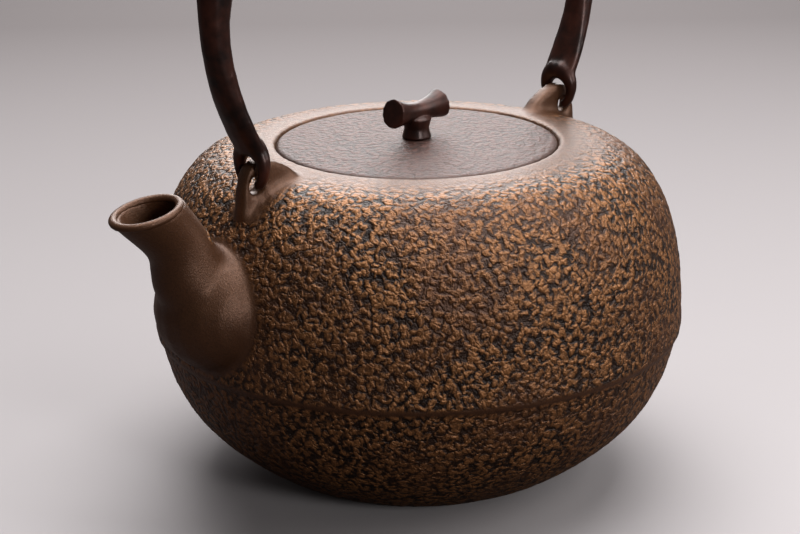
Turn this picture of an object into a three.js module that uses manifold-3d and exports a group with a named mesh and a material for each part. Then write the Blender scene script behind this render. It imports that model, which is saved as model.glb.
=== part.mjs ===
// Tetsubin: a cast-iron kettle with a lid, a riveted knob and a swinging handle.
// Millimetres. +Z is up, the base is at z = 0, and the handle lies in the XZ plane, the spout on +X.

import * as THREE from 'three';
import { mergeVertices } from 'three/addons/utils/BufferGeometryUtils.js';
import Module from 'manifold-3d';

const wasm = await Module();
wasm.setup();

// Driving dimensions: the bowl
const BASE_RADIUS = 42;
const SEAM_RADIUS = 86.2;
const SEAM_HEIGHT = 49.5;
const SEAM_STEP = 1.0;
const RIM_HEIGHT = 109.6;
const WALL = 3.0;
const FLOOR = 3.4;

// Driving dimensions: the lid and its seat
const LID_RADIUS = 45.3;
const LID_THICKNESS = 3.0;
const LID_CROWN = 0.4;
const LEDGE_WIDTH = 5.5;
const COLLAR_HEIGHT = 6.0;
const COLLAR_WALL = 2.6;
const MOUND_RADIUS = 9.0;
const MOUND_HEIGHT = 0.5;

// Driving dimensions: the knob and its rivet
const KNOB_LENGTH = 21.5;
const KNOB_END_RADIUS = 4.9;
const KNOB_WAIST_RADIUS = 3.0;
const KNOB_AXIS_RISE = 8.6;
const KNOB_END_RISE = 0.9;
const POST_RADIUS = 4.0;
const POST_FOOT_RADIUS = 4.9;
const PIN_RADIUS = 1.9;
const PIN_DEPTH = 6.0;
const WASHER_RADIUS = 6.0;
const WASHER_THICKNESS = 1.2;
const RIVET_HEAD_RADIUS = 3.8;
const RIVET_HEAD_HEIGHT = 1.5;

// Driving dimensions: the spout, measured in its own upright plane
const SPOUT_TURN = THREE.MathUtils.degToRad(-4);
const BULB_RADIUS = 19.8;
const BULB_REACH = 80.5;
const BULB_HEIGHT = 72.0;
const NECK_RADIUS = 9.3;
const NECK_FOOT_RADIUS = 14;
const MOUTH_FLARE = 1.6;
const NECK_WAIST_REACH = 94.3;
const NECK_WAIST_HEIGHT = 94.6;
const MOUTH_REACH = 104.4;
const MOUTH_HEIGHT = 107.5;
const MOUTH_TILT = THREE.MathUtils.degToRad(12);
const SPOUT_WALL = 2.3;

// Driving dimensions: the lugs and the handle
const LUG_REACH = 70.0;
const LUG_AXIS_RISE = 4.6;
const LUG_THICKNESS = 5.4;
const LUG_INNER_LENGTH = 17.0;
const LUG_OUTER_LENGTH = 6.4;
const BRIDGE_HALF_HEIGHT = 2.2;
const HANDLE_REACH = 82.3;
const HANDLE_SPRING_HEIGHT = 160;
const HANDLE_TOP = 226;
const HANDLE_RADIUS = 5.4;
const LEG_RADIUS = 4.4;
const PRONG_RADIUS = 1.7;
const PRONG_GAP = 1.2;
const PRONG_FLATNESS = 1.15;
const CROTCH_HALF_DEPTH = 2.8;

// Clearances
const SEAT_CLEARANCE = 0.2;
const RIM_CLEARANCE = 0.4;
const PIN_CLEARANCE = 0.2;
const RING_CLEARANCE = 0.95;

// How finely round shapes are divided
const BOWL_SIDES = 48;
const SMALL_SIDES = 20;
const BAR_SIDES = 12;

// Solids

function volumeOf(geometry) {
  const position = geometry.attributes.position;
  const a = new THREE.Vector3();
  const b = new THREE.Vector3();
  const c = new THREE.Vector3();
  let volume = 0;
  for (let i = 0; i < geometry.index.count; i += 3) {
    a.fromBufferAttribute(position, geometry.index.getX(i));
    b.fromBufferAttribute(position, geometry.index.getX(i + 1));
    c.fromBufferAttribute(position, geometry.index.getX(i + 2));
    volume += a.dot(b.cross(c)) / 6;
  }
  return volume;
}

// Joins coincident points, drops triangles that shrank to a line and turns every face outwards.
function solid(geometry) {
  const bare = geometry.clone();
  bare.deleteAttribute('normal');
  bare.deleteAttribute('uv');
  const merged = mergeVertices(bare, 1e-4);
  const outwards = volumeOf(merged) > 0;
  const triangles = [];
  for (let i = 0; i < merged.index.count; i += 3) {
    const a = merged.index.getX(i);
    const b = merged.index.getX(i + 1);
    const c = merged.index.getX(i + 2);
    if (a === b || b === c || c === a) continue;
    triangles.push(a, outwards ? b : c, outwards ? c : b);
  }
  const mesh = new wasm.Mesh({
    numProp: 3,
    vertProperties: new Float32Array(merged.attributes.position.array),
    triVerts: new Uint32Array(triangles),
  });
  return new wasm.Manifold(mesh);
}

function toGeometry(manifold) {
  const mesh = manifold.getMesh();
  const geometry = new THREE.BufferGeometry();
  geometry.setAttribute('position', new THREE.BufferAttribute(new Float32Array(mesh.vertProperties), 3));
  geometry.setIndex(new THREE.BufferAttribute(new Uint32Array(mesh.triVerts), 1));
  return geometry;
}

// A profile of [radius, height] pairs turned about the upright axis.
function turned(profile, sides = SMALL_SIDES) {
  const points = profile.map(([radius, height]) => new THREE.Vector2(radius, height));
  const geometry = new THREE.LatheGeometry(points, sides);
  geometry.rotateX(Math.PI / 2);
  return solid(geometry);
}

function disc(radius, bottom, top, sides = SMALL_SIDES) {
  return turned([[0, bottom], [radius, bottom], [radius, top], [0, top]], sides);
}

// A round bar along a flat curve. halfSizes(t) gives its half-size in the curve's plane and across it.
function bar(curve, across, halfSizes, steps, sides = BAR_SIDES) {
  const geometry = new THREE.CylinderGeometry(1, 1, 1, sides, steps);
  const position = geometry.attributes.position;
  for (let i = 0; i < position.count; i++) {
    const t = THREE.MathUtils.clamp(position.getY(i) + 0.5, 0, 1);
    const tangent = curve.getTangentAt(t);
    const sideways = tangent.clone().cross(across);
    const [inPlane, outOfPlane] = halfSizes(t);
    const place = curve.getPointAt(t)
      .addScaledVector(sideways, position.getX(i) * inPlane)
      .addScaledVector(across, position.getZ(i) * outOfPlane);
    position.setXYZ(i, place.x, place.y, place.z);
  }
  return solid(geometry);
}

function smooth(points, divisions) {
  const curve = new THREE.SplineCurve(points.map(([x, y]) => new THREE.Vector2(x, y)));
  return curve.getPoints(divisions).map((point) => [point.x, point.y]);
}

// Moves an open outline inwards, square to itself, by the given depth.
function movedInwards(outline, depth) {
  return outline.map(([x, y], i) => {
    const before = outline[Math.max(i - 1, 0)];
    const after = outline[Math.min(i + 1, outline.length - 1)];
    const along = new THREE.Vector2(after[0] - before[0], after[1] - before[1]).normalize();
    return [x - along.y * depth, y + along.x * depth];
  });
}

// The bowl: a round bottom, a seam line with a small step, and a broad shoulder

const lidTop = RIM_HEIGHT - SEAT_CLEARANCE;
const lugAxisHeight = RIM_HEIGHT + LUG_AXIS_RISE;
const ledgeHeight = lidTop - LID_THICKNESS - SEAT_CLEARANCE;
const seatRadius = LID_RADIUS + RIM_CLEARANCE;
const ledgeRadius = seatRadius - LEDGE_WIDTH;
const bottomRadius = SEAM_RADIUS - SEAM_STEP;

const bottomOutline = smooth([
  [BASE_RADIUS, 0],
  [bottomRadius - 29, SEAM_HEIGHT - 42.3],
  [bottomRadius - 13, SEAM_HEIGHT - 28.9],
  [bottomRadius - 4.4, SEAM_HEIGHT - 15.4],
  [bottomRadius, SEAM_HEIGHT],
], 9);

const shoulderOutline = smooth([
  [SEAM_RADIUS, SEAM_HEIGHT],
  [SEAM_RADIUS - 0.4, SEAM_HEIGHT + 12],
  [SEAM_RADIUS - 1.5, SEAM_HEIGHT + 25],
  [SEAM_RADIUS - 4.6, RIM_HEIGHT - 23.1],
  [SEAM_RADIUS - 9.0, RIM_HEIGHT - 13.6],
  [SEAM_RADIUS - 15.1, RIM_HEIGHT - 6.4],
  [SEAM_RADIUS - 23.5, RIM_HEIGHT - 1.9],
  [seatRadius + 2.6, RIM_HEIGHT],
], 15);

function shoulderHeightAt(radius) {
  const i = shoulderOutline.findIndex(([r]) => r <= radius);
  const [r0, z0] = shoulderOutline[i - 1];
  const [r1, z1] = shoulderOutline[i];
  return z0 + (z1 - z0) * (r0 - radius) / (r0 - r1);
}

function bowlOutside() {
  return turned([[0, 0], ...bottomOutline, ...shoulderOutline, [0, RIM_HEIGHT]], BOWL_SIDES);
}

function bowlInside() {
  const bottom = movedInwards(bottomOutline, WALL).filter(([, z]) => z > FLOOR + 1);
  const shoulder = movedInwards(shoulderOutline, WALL + SEAM_STEP)
    .filter(([r, z]) => r > ledgeRadius + 1 && z < ledgeHeight - WALL && z > SEAM_HEIGHT + 1);
  const above = RIM_HEIGHT + 1;
  const profile = [
    [0, FLOOR],
    [BASE_RADIUS - WALL, FLOOR],
    ...bottom,
    ...shoulder,
    [ledgeRadius, ledgeHeight - WALL],
    [ledgeRadius, above],
    [0, above],
  ];
  return turned(profile, BOWL_SIDES);
}

function lidSeat() {
  return disc(seatRadius, ledgeHeight, RIM_HEIGHT + 1, BOWL_SIDES);
}

// The spout: a round bulb on the shoulder and a neck that leans out to a level mouth

const acrossSpout = new THREE.Vector3(0, 1, 0);

function spoutCurve() {
  const beyond = 8;
  const lean = new THREE.Vector2(MOUTH_REACH - NECK_WAIST_REACH, MOUTH_HEIGHT - NECK_WAIST_HEIGHT).normalize();
  return new THREE.CatmullRomCurve3([
    new THREE.Vector3(BULB_REACH, 0, BULB_HEIGHT),
    new THREE.Vector3((BULB_REACH + NECK_WAIST_REACH) / 2 + 2.5, 0, (BULB_HEIGHT + NECK_WAIST_HEIGHT) / 2),
    new THREE.Vector3(NECK_WAIST_REACH, 0, NECK_WAIST_HEIGHT),
    new THREE.Vector3(MOUTH_REACH, 0, MOUTH_HEIGHT),
    new THREE.Vector3(MOUTH_REACH + lean.x * beyond, 0, MOUTH_HEIGHT + lean.y * beyond),
  ]);
}

function turnedToSpout(manifold) {
  return manifold.rotate([0, 0, THREE.MathUtils.radToDeg(SPOUT_TURN)]);
}

function bulb(radius) {
  const geometry = new THREE.SphereGeometry(radius, SMALL_SIDES, SMALL_SIDES / 2);
  geometry.translate(BULB_REACH, 0, BULB_HEIGHT);
  return solid(geometry);
}

// The neck swells into the bulb below its waist and opens a little towards the mouth.
function neckRadiusAt(t) {
  const waist = 0.6;
  const below = 1 - THREE.MathUtils.smoothstep(t, 0.05, waist);
  const above = THREE.MathUtils.smoothstep(t, waist, 1);
  return NECK_RADIUS + (NECK_FOOT_RADIUS - NECK_RADIUS) * below + MOUTH_FLARE * above;
}

function neck(depth) {
  const halfSizes = (t) => [neckRadiusAt(t) - depth, neckRadiusAt(t) - depth];
  return bar(spoutCurve(), acrossSpout, halfSizes, 12, 28);
}

function spoutOutside() {
  return turnedToSpout(bulb(BULB_RADIUS).add(neck(0)));
}

function spoutInside() {
  return turnedToSpout(bulb(BULB_RADIUS - SPOUT_WALL).add(neck(SPOUT_WALL)));
}

// What is cut off above the mouth, along a plane that tips outwards.
function aboveMouth() {
  const size = 40;
  const geometry = new THREE.BoxGeometry(size, size, size);
  geometry.translate(0, 0, size / 2);
  geometry.rotateY(MOUTH_TILT);
  geometry.translate(MOUTH_REACH, 0, MOUTH_HEIGHT);
  return turnedToSpout(solid(geometry));
}

// The lugs: two steep little mountains on the shoulder, each with an eye under its peak

const ringInnerHeight = BRIDGE_HALF_HEIGHT + RING_CLEARANCE + 0.6;
const ringInnerWidth = LUG_THICKNESS / 2 + RING_CLEARANCE;
const ringOuterHeight = ringInnerHeight + 2 * PRONG_RADIUS;

// A point measured from the middle of the bridge: outwards and up.
function fromBridge(outwards, rise) {
  return [LUG_REACH + outwards, lugAxisHeight + rise];
}

function ridgeShape() {
  const innerFoot = LUG_REACH - LUG_INNER_LENGTH;
  const outerFoot = LUG_REACH + LUG_OUTER_LENGTH;
  const sunk = 2;
  const shape = new THREE.Shape();
  shape.moveTo(innerFoot - 1, shoulderHeightAt(innerFoot - 1) - sunk);
  shape.lineTo(innerFoot, shoulderHeightAt(innerFoot) + 0.2);
  shape.quadraticCurveTo(...fromBridge(-11.5, 0.4), ...fromBridge(-5.2, BRIDGE_HALF_HEIGHT - 0.2));
  shape.quadraticCurveTo(...fromBridge(-1.6, BRIDGE_HALF_HEIGHT + 1.0), ...fromBridge(2.2, BRIDGE_HALF_HEIGHT - 0.9));
  shape.quadraticCurveTo(...fromBridge(5.4, -1.5), outerFoot, shoulderHeightAt(outerFoot) + 0.2);
  shape.lineTo(outerFoot + 0.6, shoulderHeightAt(outerFoot + 0.6) - sunk);
  shape.closePath();
  return shape;
}

function eyeShape() {
  const halfLength = PRONG_RADIUS * PRONG_FLATNESS + 0.7;
  const top = -BRIDGE_HALF_HEIGHT;
  const bottom = -ringOuterHeight - 0.35;
  const shape = new THREE.Shape();
  shape.moveTo(...fromBridge(-halfLength, bottom));
  shape.lineTo(...fromBridge(halfLength, bottom));
  shape.lineTo(...fromBridge(halfLength, top - 1.6));
  shape.quadraticCurveTo(...fromBridge(halfLength, top), ...fromBridge(0, top));
  shape.quadraticCurveTo(...fromBridge(-halfLength, top), ...fromBridge(-halfLength, top - 1.6));
  shape.closePath();
  return shape;
}

// An upright outline in the XZ plane, given a thickness along Y about the plane.
function plate(shape, thickness, bevel) {
  const geometry = new THREE.ExtrudeGeometry(shape, {
    depth: thickness - 2 * bevel,
    bevelEnabled: bevel > 0,
    bevelThickness: bevel,
    bevelSize: bevel,
    bevelOffset: -bevel,
    bevelSegments: 2,
    curveSegments: 5,
  });
  geometry.translate(0, 0, -thickness / 2 + bevel);
  geometry.rotateX(Math.PI / 2);
  return solid(geometry);
}

function onBothSides(manifold) {
  return manifold.add(manifold.rotate([0, 0, 180]));
}

function lugs() {
  return onBothSides(plate(ridgeShape(), LUG_THICKNESS, 0.9));
}

function eyes() {
  const sweptWidth = 2 * (ringOuterHeight + 1);
  return onBothSides(plate(eyeShape(), sweptWidth, 0));
}

function kettleBody() {
  const outside = bowlOutside().add(spoutOutside()).subtract(aboveMouth()).add(lugs());
  const inside = bowlInside().add(lidSeat()).add(spoutInside());
  return outside.subtract(inside).subtract(eyes());
}

// The lid: a low crowned disc with a collar that drops into the mouth

const lidBottom = lidTop - LID_THICKNESS;
const lidCrown = lidTop + LID_CROWN;
const moundTop = lidCrown + MOUND_HEIGHT;

function lid() {
  const collarRadius = ledgeRadius - RIM_CLEARANCE;
  const collarBottom = lidBottom - COLLAR_HEIGHT;
  const edge = 0.8;
  const profile = [
    [0, lidBottom],
    [collarRadius - COLLAR_WALL, lidBottom],
    [collarRadius - COLLAR_WALL, collarBottom],
    [collarRadius, collarBottom],
    [collarRadius, lidBottom],
    [LID_RADIUS, lidBottom],
    [LID_RADIUS, lidTop - edge],
    [LID_RADIUS - edge, lidTop],
    [LID_RADIUS * 0.7, lidTop + LID_CROWN * 0.6],
    [MOUND_RADIUS + 4, lidCrown],
    [MOUND_RADIUS, lidCrown + MOUND_HEIGHT * 0.3],
    [POST_FOOT_RADIUS, moundTop],
    [0, moundTop],
  ];
  const hole = disc(PIN_RADIUS + PIN_CLEARANCE, lidBottom - 1, moundTop + 1);
  return turned(profile, BOWL_SIDES).subtract(hole);
}

// The knob: a short waisted bar on a post, cast in one

const knobFoot = moundTop + SEAT_CLEARANCE;
const knobAxis = knobFoot + KNOB_AXIS_RISE;

function knob() {
  const half = KNOB_LENGTH / 2;
  const saddle = new THREE.QuadraticBezierCurve3(
    new THREE.Vector3(-half, 0, knobAxis + KNOB_END_RISE),
    new THREE.Vector3(0, 0, knobAxis - KNOB_END_RISE),
    new THREE.Vector3(half, 0, knobAxis + KNOB_END_RISE),
  );
  const halfSizes = (t) => {
    const spread = Math.abs(2 * t - 1) ** 1.8;
    const radius = THREE.MathUtils.lerp(KNOB_WAIST_RADIUS, KNOB_END_RADIUS, spread);
    return [radius, radius];
  };
  const cross = bar(saddle, new THREE.Vector3(0, 1, 0), halfSizes, 12, SMALL_SIDES);
  const post = turned([
    [0, knobFoot],
    [POST_FOOT_RADIUS, knobFoot],
    [POST_RADIUS + 0.4, knobFoot + 1.6],
    [POST_RADIUS, knobFoot + 3.2],
    [POST_RADIUS + 0.9, knobAxis - 2.2],
    [0, knobAxis],
  ]);
  const socket = disc(PIN_RADIUS + PIN_CLEARANCE, knobFoot - 1, knobFoot + PIN_DEPTH + PIN_CLEARANCE);
  return cross.add(post).subtract(socket);
}

// The rivet pin holds the knob, peened over a washer under the lid

const washerTop = lidBottom - SEAT_CLEARANCE;
const washerBottom = washerTop - WASHER_THICKNESS;
const headTop = washerBottom - SEAT_CLEARANCE;

function knobWasher() {
  const hole = disc(PIN_RADIUS + PIN_CLEARANCE, washerBottom - 1, washerTop + 1);
  return disc(WASHER_RADIUS, washerBottom, washerTop).subtract(hole);
}

function knobPin() {
  return turned([
    [0, headTop - RIVET_HEAD_HEIGHT],
    [RIVET_HEAD_RADIUS * 0.6, headTop - RIVET_HEAD_HEIGHT],
    [RIVET_HEAD_RADIUS, headTop - RIVET_HEAD_HEIGHT * 0.3],
    [RIVET_HEAD_RADIUS, headTop],
    [PIN_RADIUS, headTop],
    [PIN_RADIUS, knobFoot + PIN_DEPTH],
    [0, knobFoot + PIN_DEPTH],
  ]);
}

// The handle: a forged arch, thickest over the middle, each end split into two prongs that close
// under the bridge of a lug

const crotchRise = ringInnerHeight + PRONG_RADIUS;

class HandleLine extends THREE.Curve {
  // From the crotch over one lug, up the leg, over the arch and down to the other lug.
  getPoint(t, target = new THREE.Vector3()) {
    const side = t < 0.5 ? 1 : -1;
    const s = t < 0.5 ? t : 1 - t;
    const legShare = 0.16;
    const [footX, footZ] = fromBridge(0, crotchRise);
    if (s < legShare) {
      const z = footZ + (HANDLE_SPRING_HEIGHT - footZ) * s / legShare;
      const left = (HANDLE_SPRING_HEIGHT - z) / (HANDLE_SPRING_HEIGHT - footZ);
      return target.set(side * (HANDLE_REACH - (HANDLE_REACH - footX) * left * left), 0, z);
    }
    const angle = Math.PI / 2 * (s - legShare) / (0.5 - legShare);
    const archRise = HANDLE_TOP - HANDLE_RADIUS - HANDLE_SPRING_HEIGHT;
    const x = side * HANDLE_REACH * Math.cos(angle);
    return target.set(x, 0, HANDLE_SPRING_HEIGHT + archRise * Math.sin(angle));
  }
}

function archBar() {
  const taperShare = 0.17;
  const flareShare = 0.12;
  const halfSizes = (t) => {
    const s = Math.min(t, 1 - t);
    const taper = THREE.MathUtils.smoothstep(s, flareShare, taperShare);
    const flare = 1 - THREE.MathUtils.smoothstep(s, 0, flareShare);
    const radius = THREE.MathUtils.lerp(LEG_RADIUS, HANDLE_RADIUS, taper);
    return [
      THREE.MathUtils.lerp(radius, CROTCH_HALF_DEPTH, flare),
      THREE.MathUtils.lerp(radius, ringInnerWidth + 2 * PRONG_RADIUS - 0.4, flare),
    ];
  };
  return bar(new HandleLine(), new THREE.Vector3(0, 1, 0), halfSizes, 44);
}

class ProngLine extends THREE.Curve {
  // An oval round the bridge, left open under it.
  getPoint(t, target = new THREE.Vector3()) {
    const open = (PRONG_GAP / 2 + PRONG_RADIUS) / (ringInnerHeight + PRONG_RADIUS);
    const angle = THREE.MathUtils.lerp(-Math.PI + open, Math.PI - open, t);
    const rise = (ringInnerHeight + PRONG_RADIUS) * Math.cos(angle);
    const [x, z] = fromBridge(0, rise);
    return target.set(x, (ringInnerWidth + PRONG_RADIUS) * Math.sin(angle), z);
  }
}

function prongs() {
  const across = new THREE.Vector3(1, 0, 0);
  const halfSizes = () => [PRONG_RADIUS, PRONG_RADIUS * PRONG_FLATNESS];
  return onBothSides(bar(new ProngLine(), across, halfSizes, 20, 8));
}

function handle() {
  return archBar().add(prongs());
}

// The assembly

const ironSkin = { color: 0x4a3a30, roughness: 0.62, metalness: 0.45 };
const lidSkin = { color: 0x45352f, roughness: 0.58, metalness: 0.45 };
const lacquerSkin = { color: 0x2e1d18, roughness: 0.4, metalness: 0.5 };
const steelSkin = { color: 0x554c46, roughness: 0.55, metalness: 0.7 };

const group = new THREE.Group();
group.name = 'tetsubin';

function place(name, manifold, skin) {
  const geometry = toGeometry(manifold);
  geometry.computeVertexNormals();
  const mesh = new THREE.Mesh(geometry, new THREE.MeshStandardMaterial(skin));
  mesh.name = name;
  group.add(mesh);
}

place('kettle_body', kettleBody(), ironSkin);
place('lid', lid(), lidSkin);
place('knob', knob(), lacquerSkin);
place('knob_washer', knobWasher(), steelSkin);
place('knob_pin', knobPin(), steelSkin);
place('handle', handle(), lacquerSkin);

export default group;
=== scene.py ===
import math

import bpy
from mathutils import Matrix, Vector


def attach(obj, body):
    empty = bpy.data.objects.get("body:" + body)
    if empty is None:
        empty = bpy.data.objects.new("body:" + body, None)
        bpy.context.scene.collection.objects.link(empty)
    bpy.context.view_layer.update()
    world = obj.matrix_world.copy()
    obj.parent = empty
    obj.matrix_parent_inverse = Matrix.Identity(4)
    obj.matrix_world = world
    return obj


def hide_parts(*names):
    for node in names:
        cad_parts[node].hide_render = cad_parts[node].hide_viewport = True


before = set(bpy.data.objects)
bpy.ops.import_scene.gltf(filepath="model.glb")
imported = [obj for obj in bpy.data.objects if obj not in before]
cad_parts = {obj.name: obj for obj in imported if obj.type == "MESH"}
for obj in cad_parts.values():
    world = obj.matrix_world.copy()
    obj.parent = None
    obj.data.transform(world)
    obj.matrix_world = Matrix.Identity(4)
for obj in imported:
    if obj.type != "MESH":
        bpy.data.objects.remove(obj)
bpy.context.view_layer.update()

MM = 0.001


def linear(hex_colour):
    """sRGB hex to the linear colour that a shader socket takes."""
    channels = [int(hex_colour[i:i + 2], 16) / 255 for i in (1, 3, 5)]
    curve = [c / 12.92 if c <= 0.04045 else ((c + 0.055) / 1.055) ** 2.4 for c in channels]
    return (*curve, 1.0)


def add_node(material, kind, settings=None, inputs=None):
    """Adds a shader node. A value that is a socket is linked, any other is set on the input."""
    node = material.node_tree.nodes.new(kind)
    for name, value in (settings or {}).items():
        setattr(node, name, value)
    for name, value in (inputs or {}).items():
        if isinstance(value, bpy.types.NodeSocket):
            material.node_tree.links.new(value, node.inputs[name])
        else:
            node.inputs[name].default_value = value
    return node


def new_material(name):
    material = bpy.data.materials.new(name)
    material.use_nodes = True
    material.node_tree.nodes.clear()
    return material


def finish_material(material, shader):
    add_node(material, "ShaderNodeOutputMaterial", inputs={"Surface": shader.outputs["BSDF"]})


def two_colours(material, factor, low, high, start=0.0, end=1.0):
    """Mixes two hex colours by a factor that is stretched between start and end."""
    spread = add_node(material, "ShaderNodeMapRange",
                      inputs={"Value": factor, "From Min": start, "From Max": end})
    mix = add_node(material, "ShaderNodeMix", {"data_type": "RGBA"},
                   {"Factor": spread.outputs["Result"]})
    for index, colour in ((6, low), (7, high)):
        if isinstance(colour, bpy.types.NodeSocket):
            material.node_tree.links.new(colour, mix.inputs[index])
        else:
            mix.inputs[index].default_value = linear(colour)
    return mix.outputs[2]


def copy_of(node_name, piece_name):
    """A new piece that starts from the node's own solid, with its own mesh."""
    bpy.ops.object.select_all(action="DESELECT")
    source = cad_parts[node_name]
    piece = bpy.data.objects.new(piece_name, source.data.copy())
    piece.data.materials.clear()
    bpy.context.scene.collection.objects.link(piece)
    bpy.context.view_layer.objects.active = piece
    piece.select_set(True)
    return piece


def apply_modifier(piece, name, kind, **settings):
    modifier = piece.modifiers.new(name, kind)
    for key, value in settings.items():
        setattr(modifier, key, value)
    bpy.context.view_layer.objects.active = piece
    bpy.ops.object.modifier_apply(modifier=name)


def softened(piece, grain, rounds):
    """Rounds off the solid's flat facets: an even skin of small faces, relaxed a few times."""
    apply_modifier(piece, "even", "REMESH", mode="VOXEL", voxel_size=grain, use_smooth_shade=True)
    apply_modifier(piece, "relax", "SMOOTH", factor=0.5, iterations=rounds)
    for polygon in piece.data.polygons:
        polygon.use_smooth = True


def paint_attribute(piece, name, values):
    piece.data.attributes.new(name, "FLOAT", "POINT")
    piece.data.attributes[name].data.foreach_set("value", values)


def paint_group(piece, name, weights):
    group = piece.vertex_groups.new(name=name)
    for index, weight in enumerate(weights):
        if weight > 0:
            group.add([index], weight, "REPLACE")


def grain_texture(name, kind, size):
    texture = bpy.data.textures.new(name, kind)
    texture.noise_scale = size
    return texture


def ramp(value, low, high):
    t = min(max((value - low) / (high - low), 0.0), 1.0)
    return t * t * (3 - 2 * t)


# Kettle body. One sand-cast pour of iron: the clay mould was pressed all over by hand, so the
# shoulder and the bowl are covered with soft pebbles about 2 mm apart. The spout, the lugs, the
# lip over the seam and the ring round the lid were left smooth. A blend is a pair of sizes: where
# the pebbles begin to show, and where they stand fully.
BODY_VOXEL = 1.15 * MM
SEAM_HEIGHT = 49.5 * MM
SEAM_BLEND = (0.3 * MM, 2.0 * MM)
BULB_CENTRE = Vector((80.3, -5.6, 72.0)) * MM
BULB_RADIUS = 21.0 * MM
BULB_BLEND = (BULB_RADIUS - 0.8 * MM, BULB_RADIUS + 1.5 * MM)
NECK_START = 88 * MM
MOUTH_BLEND = (90 * MM, 96 * MM)
LUG_START, LUG_END = 50 * MM, 79 * MM
LUG_FOOT_HEIGHT = 99 * MM
LUG_BLEND = (4 * MM, 10 * MM)
LID_RING_HEIGHT = 98 * MM
LID_RING_BLEND = (50 * MM, 66 * MM)
LID_RING_GRAIN = 0.12
SHOULDER_HEIGHT = 95 * MM
BASE_RADIUS = 40 * MM
BASE_SKIN = 1 * MM
BASE_GRAIN = 0.3
PEBBLE = 1.65 * MM
FINE_PEBBLE = 1.6 * MM
THINNED_SHARE = 0.58

body = copy_of("kettle_body", "cast_body")
softened(body, BODY_VOXEL, 4)
paint_group(body, "mouth", [ramp(math.hypot(v.co.x, v.co.y), *MOUTH_BLEND)
                            for v in body.data.vertices])
apply_modifier(body, "round_lip", "LAPLACIANSMOOTH", iterations=12, lambda_factor=1.0,
               use_volume_preserve=True, vertex_group="mouth")

# Spout's lip. The mouth is cut on a slope, and its edge was rounded with a file after casting. The
# ring follows the outer and the inner corner of the solid's mouth.
SPOUT_TURN = math.radians(-4)
MOUTH_TILT = math.radians(12)
MOUTH_ZONE_REACH = 85 * MM
MOUTH_ZONE_HEIGHT = 98 * MM
LIP_SIDES = 96
LIP_ROWS = 16
LIP_HALF_HEIGHT = 1.2 * MM
LIP_DEPTH = 0.9 * MM
LIP_OVERHANG = 0.05 * MM

spout_side = Vector((math.cos(SPOUT_TURN), math.sin(SPOUT_TURN), 0))
mouth_normal = Vector((0, 0, 1)) * math.cos(MOUTH_TILT) + spout_side * math.sin(MOUTH_TILT)
spout_corners = [v.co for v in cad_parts["kettle_body"].data.vertices
                 if v.co.dot(spout_side) > MOUTH_ZONE_REACH and v.co.z > MOUTH_ZONE_HEIGHT]
mouth_level = max(corner.dot(mouth_normal) for corner in spout_corners)
mouth_corners = [corner for corner in spout_corners
                 if corner.dot(mouth_normal) > mouth_level - 0.02 * MM]
mouth_centre = sum(mouth_corners, Vector()) / len(mouth_corners)
mouth_across = Vector((0, 1, 0)).cross(mouth_normal).normalized()
mouth_along = mouth_normal.cross(mouth_across)


def seen_from_centre(corner):
    """A corner's angle and distance, seen from the middle of the mouth."""
    arm = corner - mouth_centre
    return math.atan2(arm.dot(mouth_along), arm.dot(mouth_across)), arm.length


def radius_towards(corners, angle):
    """The radius at an angle, between the corners on both sides of it."""
    (first, first_radius), (last, last_radius) = corners[0], corners[-1]
    turn = 2 * math.pi
    ring = [(last - turn, last_radius), *corners, (first + turn, first_radius)]
    for (a, low), (b, high) in zip(ring, ring[1:]):
        if a <= angle <= b and a < b:
            return low + (high - low) * (angle - a) / (b - a)


def lowered_under_lip(piece):
    """Brings the remeshed edge of the mouth down, so that it ends inside the lip."""
    for vertex in piece.data.vertices:
        if vertex.co.dot(spout_side) > NECK_START:
            above = vertex.co.dot(mouth_normal) - mouth_level + LIP_DEPTH
            if above > 0:
                vertex.co -= mouth_normal * above


def mouth_lip(name):
    """A torus that is drawn to the mouth's outline, with an oval section over the wall's edge."""
    corners = sorted(seen_from_centre(corner) for corner in mouth_corners)
    middle = sum(radius for _, radius in corners) / len(corners)
    outer_corners = [pair for pair in corners if pair[1] > middle]
    inner_corners = [pair for pair in corners if pair[1] <= middle]
    ring, tube = 1.0, 0.5
    bpy.ops.object.select_all(action="DESELECT")
    bpy.ops.mesh.primitive_torus_add(major_segments=LIP_SIDES, minor_segments=LIP_ROWS,
                                     major_radius=ring, minor_radius=tube, generate_uvs=False)
    bpy.ops.object.shade_smooth()
    piece = bpy.context.object
    piece.name = piece.data.name = name
    for vertex in piece.data.vertices:
        x, y, z = vertex.co
        angle = math.atan2(y, x)
        outer, inner = radius_towards(outer_corners, angle), radius_towards(inner_corners, angle)
        half = (outer - inner) / 2 + LIP_OVERHANG
        outwards = mouth_across * math.cos(angle) + mouth_along * math.sin(angle)
        reach = (outer + inner) / 2 + half * (math.hypot(x, y) - ring) / tube
        rise = LIP_HALF_HEIGHT * z / tube - LIP_DEPTH
        vertex.co = mouth_centre + outwards * reach + mouth_normal * rise
    return piece


lowered_under_lip(body)
lip = mouth_lip("spout_lip")


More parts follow.
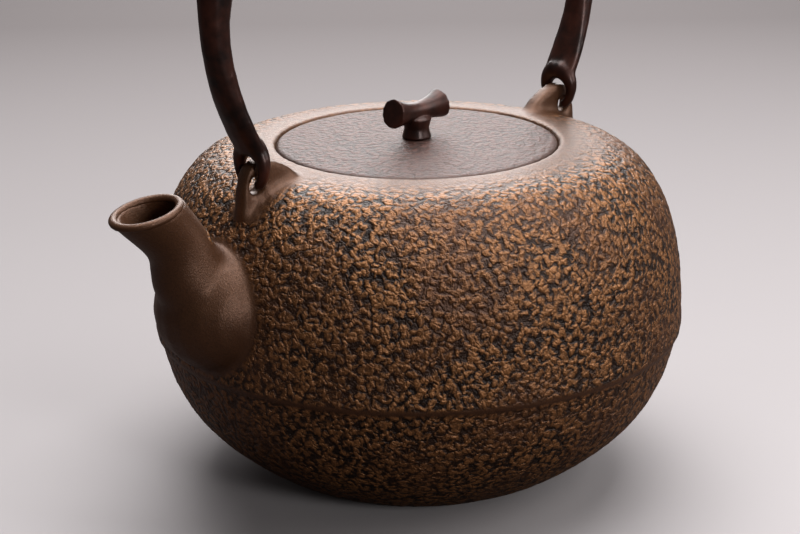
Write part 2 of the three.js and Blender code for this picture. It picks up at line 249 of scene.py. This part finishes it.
def body_grain(vertex):
    """How strongly the pebbles stand at a point of the casting, from 0 to 1."""
    x, y, z = vertex.co
    radius = math.hypot(x, y)
    facing = vertex.normal.dot(Vector((x, y, 0)).normalized()) if radius > 1 * MM else 0
    on_shoulder = vertex.normal.z > 0.3 and z > SHOULDER_HEIGHT
    outer = facing > 0.15 or on_shoulder or z < BASE_SKIN
    if not outer or (radius < BASE_RADIUS and z > 2 * BASE_SKIN):
        return 0.0
    if x > 0 and radius > NECK_START:
        return 0.0
    weight = ramp((vertex.co - BULB_CENTRE).length, *BULB_BLEND)
    if LUG_START < abs(x) < LUG_END and z > LUG_FOOT_HEIGHT:
        weight *= ramp(abs(y), *LUG_BLEND)
    if z > LID_RING_HEIGHT:
        weight *= LID_RING_GRAIN + (1 - LID_RING_GRAIN) * ramp(radius, *LID_RING_BLEND)
    weight *= ramp(abs(z - SEAM_HEIGHT), *SEAM_BLEND)
    return weight * (BASE_GRAIN if z < BASE_SKIN else 1.0)


body_weights = [body_grain(vertex) for vertex in body.data.vertices]
body_heights = [vertex.co.z for vertex in body.data.vertices]
paint_attribute(body, "grain", body_weights)
upper = [w if z > SEAM_HEIGHT else 0.0 for w, z in zip(body_weights, body_heights)]
lower = [w if z <= SEAM_HEIGHT else 0.0 for w, z in zip(body_weights, body_heights)]
paint_group(body, "upper", upper)
paint_group(body, "lower", lower)

# Each row: the pattern's name, its kind and size, its height, the level that stays in place, and
# the part of the bowl that it covers.
RELIEF = (
    ("pebbles", "VORONOI", 1.6 * PEBBLE, -0.35 * MM, 0.45, "upper"),
    ("swells", "CLOUDS", 7 * MM, 0.25 * MM, 0.5, "upper"),
    ("fine", "VORONOI", FINE_PEBBLE, -0.25 * MM, 0.45, "lower"),
)
for name, kind, size, relief, level, group in RELIEF:
    apply_modifier(body, name, "DISPLACE", texture=grain_texture(name, kind, size),
                   texture_coords="LOCAL", strength=relief, mid_level=level, vertex_group=group)
apply_modifier(body, "thinned", "DECIMATE", ratio=THINNED_SHARE)


# The sand's own grain is finer than this. It is drawn as coarse as it needs to be to show.
SAND_GRAIN = 0.55 * MM
SAND_DEPTH = 0.3 * MM
STAIN = 24 * MM


def cast_iron_skin(name, pebble, depth, metal, roughness, top, hollow, tint, smooth_colour):
    """Sand-cast iron under a thin baked lacquer: worn brown tops, dark hollows, a dull sheen."""
    material = new_material(name)
    place = add_node(material, "ShaderNodeTexCoord").outputs["Object"]
    warp = add_node(material, "ShaderNodeTexNoise",
                    inputs={"Vector": place, "Scale": 0.6 / pebble, "Detail": 3.0})
    bent = add_node(material, "ShaderNodeVectorMath", {"operation": "MULTIPLY_ADD"},
                    {0: warp.outputs["Color"], 1: (pebble * 2.2,) * 3, 2: place})
    cells = add_node(material, "ShaderNodeTexVoronoi", {"feature": "F1"},
                     {"Vector": bent.outputs[0], "Scale": 0.85 / pebble})
    ripple = add_node(material, "ShaderNodeTexNoise",
                      inputs={"Vector": bent.outputs[0], "Scale": 1.1 / pebble, "Detail": 2.0})
    worm = add_node(material, "ShaderNodeMath", {"operation": "MULTIPLY_ADD"},
                    {0: ripple.outputs["Fac"], 1: -1.1, 2: cells.outputs["Distance"]})
    sand = add_node(material, "ShaderNodeTexNoise",
                    inputs={"Vector": place, "Scale": 1 / SAND_GRAIN, "Detail": 4.0,
                            "Roughness": 0.65})
    patches = add_node(material, "ShaderNodeTexNoise",
                       inputs={"Vector": place, "Scale": 1 / STAIN, "Detail": 5.0})
    grain = add_node(material, "ShaderNodeAttribute", {"attribute_name": "grain"})
    mask = grain.outputs["Fac"]
    pits = two_colours(material, worm.outputs[0], top, hollow, -0.22, 0.12)
    stained = two_colours(material, patches.outputs["Fac"], pits, tint, 0.42, 0.85)
    skin = two_colours(material, mask, smooth_colour, stained, 0.0, 0.8)
    speckled = two_colours(material, sand.outputs["Fac"], skin, hollow, 0.46, 1.0)
    height = add_node(material, "ShaderNodeMath", {"operation": "MULTIPLY"},
                      {0: worm.outputs[0], 1: mask})
    coarse = add_node(material, "ShaderNodeBump", {"invert": True},
                      {"Strength": 0.9, "Distance": depth, "Height": height.outputs[0]})
    fine = add_node(material, "ShaderNodeBump",
                    inputs={"Strength": 0.5, "Distance": SAND_DEPTH, "Height": sand.outputs["Fac"],
                            "Normal": coarse.outputs["Normal"]})
    rough = add_node(material, "ShaderNodeMapRange",
                     inputs={"Value": sand.outputs["Fac"], "To Min": roughness[0],
                             "To Max": roughness[1]})
    shader = add_node(material, "ShaderNodeBsdfPrincipled",
                      inputs={"Base Color": speckled, "Metallic": metal,
                              "Roughness": rough.outputs["Result"],
                              "Normal": fine.outputs["Normal"]})
    finish_material(material, shader)
    return material


body_skin = cast_iron_skin("lacquered_cast_iron", PEBBLE, depth=1.0 * MM, metal=0.5,
                           roughness=(0.27, 0.50), top="#94633a", hollow="#20130c",
                           tint="#5a3823", smooth_colour="#563723")
body.data.materials.append(body_skin)
lip.data.materials.append(body_skin)
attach(lip, "kettle")
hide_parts("kettle_body")
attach(body, "kettle")


# Lid. A thin cast disc, flush with the rim. Its mould was finer, so the skin is like orange peel,
# and it took the lacquer redder than the bowl.
LID_VOXEL = 0.8 * MM
LID_RADIUS = 45.0 * MM
LID_SKIN_HEIGHT = 108.5 * MM
EDGE_BLEND = 2.5 * MM
EDGE_GRAIN = 0.2
ORANGE_PEEL = 1.6 * MM
PEEL_RELIEF = 0.28 * MM

lid = copy_of("lid", "cast_lid")
softened(lid, LID_VOXEL, 2)


def lid_peel(vertex):
    """The lid's top carries the skin, less so near its filed edge."""
    if vertex.normal.z < 0.5 or vertex.co.z < LID_SKIN_HEIGHT:
        return 0.0
    inwards = LID_RADIUS - math.hypot(vertex.co.x, vertex.co.y)
    return EDGE_GRAIN + (1 - EDGE_GRAIN) * ramp(inwards, 0.0, EDGE_BLEND)


lid_weights = [lid_peel(vertex) for vertex in lid.data.vertices]
paint_attribute(lid, "grain", lid_weights)
paint_group(lid, "peel", lid_weights)
apply_modifier(lid, "peel", "DISPLACE", texture=grain_texture("peel", "CLOUDS", ORANGE_PEEL),
               texture_coords="LOCAL", strength=PEEL_RELIEF, mid_level=0.5, vertex_group="peel")
lid_skin = cast_iron_skin("lacquered_lid_iron", ORANGE_PEEL, depth=0.5 * MM, metal=0.3,
                          roughness=(0.40, 0.62), top="#573830", hollow="#33201a",
                          tint="#4c2f27", smooth_colour="#453028")
lid.data.materials.append(lid_skin)
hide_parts("lid")
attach(lid, "lid")


# Knob and handle. Smooth iron, filed and then lacquered: near black with a red-brown cast where
# the lacquer is thin, and a low gloss that a few hammer dents break up.
LACQUER_CLOUD = 9 * MM
HAMMER_DENT = 3.5 * MM
DENT_DEPTH = 0.25 * MM


def lacquered_iron(name):
    material = new_material(name)
    place = add_node(material, "ShaderNodeTexCoord").outputs["Object"]
    cloud = add_node(material, "ShaderNodeTexNoise",
                     inputs={"Vector": place, "Scale": 1 / LACQUER_CLOUD, "Detail": 6.0,
                             "Roughness": 0.6})
    dents = add_node(material, "ShaderNodeTexNoise",
                     inputs={"Vector": place, "Scale": 1 / HAMMER_DENT, "Detail": 2.0})
    colour = two_colours(material, cloud.outputs["Fac"], "#1a0d0a", "#4d261a", 0.36, 0.74)
    bump = add_node(material, "ShaderNodeBump",
                    inputs={"Strength": 0.3, "Distance": DENT_DEPTH,
                            "Height": dents.outputs["Fac"]})
    rough = add_node(material, "ShaderNodeMapRange",
                     inputs={"Value": cloud.outputs["Fac"], "To Min": 0.26, "To Max": 0.46})
    shader = add_node(material, "ShaderNodeBsdfPrincipled",
                      inputs={"Base Color": colour, "Metallic": 0.45,
                              "Roughness": rough.outputs["Result"],
                              "Normal": bump.outputs["Normal"]})
    finish_material(material, shader)
    return material


lacquer = lacquered_iron("smooth_lacquered_iron")

KNOB_VOXEL = 0.35 * MM

knob = copy_of("knob", "cast_knob")
softened(knob, KNOB_VOXEL, 10)
knob.data.materials.append(lacquer)
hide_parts("knob")
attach(knob, "lid")

# The smith splits each end of the bar and draws it out, so the prongs are stout where they leave
# it. Balls of iron along each prong give it that body, and the even skin joins them to the bar.
HANDLE_VOXEL = 0.6 * MM
HAMMER_SWELL = 9 * MM
HAMMER_RELIEF = 0.35 * MM
LUG_REACH = 70.0 * MM
LUG_AXIS_HEIGHT = 114.2 * MM
RING_HALF_WIDTH = 5.35 * MM
RING_HALF_HEIGHT = 5.45 * MM
PRONG_RADIUS = 1.7 * MM
PRONG_ROOT_RADIUS = 3.3 * MM
ROOT_DEGREES = 10
TAPER_END_DEGREES = 105
DEGREES_PER_BALL = 5


def prong_ball(end, side, degrees):
    """The size and the centre of a ball on one prong, at an angle from the top of the ring."""
    share = (TAPER_END_DEGREES - degrees) / (TAPER_END_DEGREES - ROOT_DEGREES)
    radius = PRONG_RADIUS + (PRONG_ROOT_RADIUS - PRONG_RADIUS) * share ** 1.3
    outwards = radius - PRONG_RADIUS
    angle = math.radians(degrees)
    centre = (end * LUG_REACH,
              side * (RING_HALF_WIDTH + outwards) * math.sin(angle),
              LUG_AXIS_HEIGHT + (RING_HALF_HEIGHT + outwards) * math.cos(angle))
    return radius, centre


handle = copy_of("handle", "forged_handle")
bpy.ops.object.mode_set(mode="EDIT")
for end in (-1, 1):
    for side in (-1, 1):
        for degrees in range(ROOT_DEGREES, TAPER_END_DEGREES + 1, DEGREES_PER_BALL):
            radius, centre = prong_ball(end, side, degrees)
            bpy.ops.mesh.primitive_ico_sphere_add(subdivisions=3, radius=radius, location=centre)
bpy.ops.object.mode_set(mode="OBJECT")
softened(handle, HANDLE_VOXEL, 8)
apply_modifier(handle, "hammering", "DISPLACE",
               texture=grain_texture("hammering", "CLOUDS", HAMMER_SWELL),
               texture_coords="LOCAL", strength=HAMMER_RELIEF, mid_level=0.5)
handle.data.materials.append(lacquer)
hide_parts("handle")
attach(handle, "handle")


# Washer and rivet under the lid. Bare iron, dulled by steam.
STEAM_BLOOM = 1.5 * MM


def bare_iron(name):
    material = new_material(name)
    place = add_node(material, "ShaderNodeTexCoord").outputs["Object"]
    bloom = add_node(material, "ShaderNodeTexNoise",
                     inputs={"Vector": place, "Scale": 1 / STEAM_BLOOM, "Detail": 5.0})
    colour = two_colours(material, bloom.outputs["Fac"], "#3b3532", "#6b5a4c", 0.35, 0.7)
    shader = add_node(material, "ShaderNodeBsdfPrincipled",
                      inputs={"Base Color": colour, "Metallic": 0.8, "Roughness": 0.55})
    finish_material(material, shader)
    return material


steamed_iron = bare_iron("steamed_bare_iron")
for name in ("knob_washer", "knob_pin"):
    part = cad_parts[name]
    part.data.materials.clear()
    part.data.materials.append(steamed_iron)


# Camera. It stands 45 degrees round from the spout, about 0.65 m away, and looks down 18 degrees.
VIEW_AZIMUTH = math.radians(45)
VIEW_PITCH = math.radians(18.18)
VIEW_ROLL = math.radians(-0.70)
VIEW_DISTANCE = 650 * MM
VIEW_FOCUS = Vector((-5.89, 0, 66.6)) * MM
FOCAL_PIXELS = 1980
IMAGE_WIDTH = 800

toward = Vector((math.cos(VIEW_AZIMUTH), math.sin(VIEW_AZIMUTH), 0))
rightward = Vector((-toward.y, toward.x, 0))
up = Vector((0, 0, 1))
eye = (rightward * VIEW_FOCUS.x + up * VIEW_FOCUS.z
       + (toward * math.cos(VIEW_PITCH) + up * math.sin(VIEW_PITCH)) * VIEW_DISTANCE)
camera_data = bpy.data.cameras.new("camera")
camera_data.sensor_width = 36
camera_data.lens = FOCAL_PIXELS * camera_data.sensor_width / IMAGE_WIDTH
camera_data.clip_start = 0.01
camera = bpy.data.objects.new("camera", camera_data)
bpy.context.scene.collection.objects.link(camera)
turn = (Matrix.Rotation(VIEW_AZIMUTH + math.pi / 2, 4, "Z")
        @ Matrix.Rotation(math.pi / 2 - VIEW_PITCH, 4, "X"))
camera.matrix_world = Matrix.Translation(eye) @ turn @ Matrix.Rotation(VIEW_ROLL, 4, "Z")
bpy.context.scene.camera = camera
bpy.context.scene.view_settings.view_transform = "Standard"

# Stage. One flat pale grey floor plane, with no wall behind it. Its colour is painted darker
# towards the back and lighter near the camera: painted shade and painted light that stand in for
# light falling off over a floor and a wall.
NEAR_PAINTED_LIGHT = "#aba6a7"
FAR_PAINTED_SHADE = "#6e6969"
BOUNCE_COLOUR = "#4a4342"
bpy.ops.object.select_all(action="DESELECT")
bpy.ops.mesh.primitive_plane_add(size=8, location=(0, 0, 0))
floor = bpy.context.object
floor.name = "floor"
paper = new_material("grey_paper")
paper_place = add_node(paper, "ShaderNodeTexCoord").outputs["Object"]
depth = add_node(paper, "ShaderNodeVectorMath", {"operation": "DOT_PRODUCT"},
                 {0: paper_place, 1: toward})
# Painted shade and light: the floor's colour darkens with distance behind the kettle and brightens
# towards the camera.
painted_falloff = two_colours(paper, depth.outputs["Value"], FAR_PAINTED_SHADE, NEAR_PAINTED_LIGHT, -0.75, 0.25)
seen = add_node(paper, "ShaderNodeLightPath").outputs["Is Camera Ray"]
paper_colour = two_colours(paper, seen, BOUNCE_COLOUR, painted_falloff)
paper_shader = add_node(paper, "ShaderNodeBsdfPrincipled",
                        inputs={"Base Color": paper_colour, "Roughness": 0.9,
                                "Specular IOR Level": 0.0})
finish_material(paper, paper_shader)
floor.data.materials.append(paper)

world = bpy.data.worlds.new("studio")
world.use_nodes = True
world.node_tree.nodes["Background"].inputs["Color"].default_value = linear("#b9b4b4")
world.node_tree.nodes["Background"].inputs["Strength"].default_value = 0.2
bpy.context.scene.world = world

AIM_HEIGHT = 60 * MM


def softbox(name, right_m, toward_m, height_m, size, power):
    """A square light at a place given from the camera's side, turned to the kettle."""
    light = bpy.data.lights.new(name, "AREA")
    light.size = size
    light.energy = power
    lamp = bpy.data.objects.new(name, light)
    lamp.location = rightward * right_m + toward * toward_m + up * height_m
    aim = up * AIM_HEIGHT - lamp.location
    lamp.rotation_euler = aim.to_track_quat("-Z", "Y").to_euler()
    bpy.context.scene.collection.objects.link(lamp)


softbox("overhead", 0.05, -0.2, 1.05, 1.0, 21)
softbox("behind", 0.0, -1.1, 0.65, 0.8, 11)
softbox("window", 0.85, 0.1, 0.6, 0.7, 6)
softbox("front_right", 0.55, 0.9, 0.42, 0.22, 4.0)
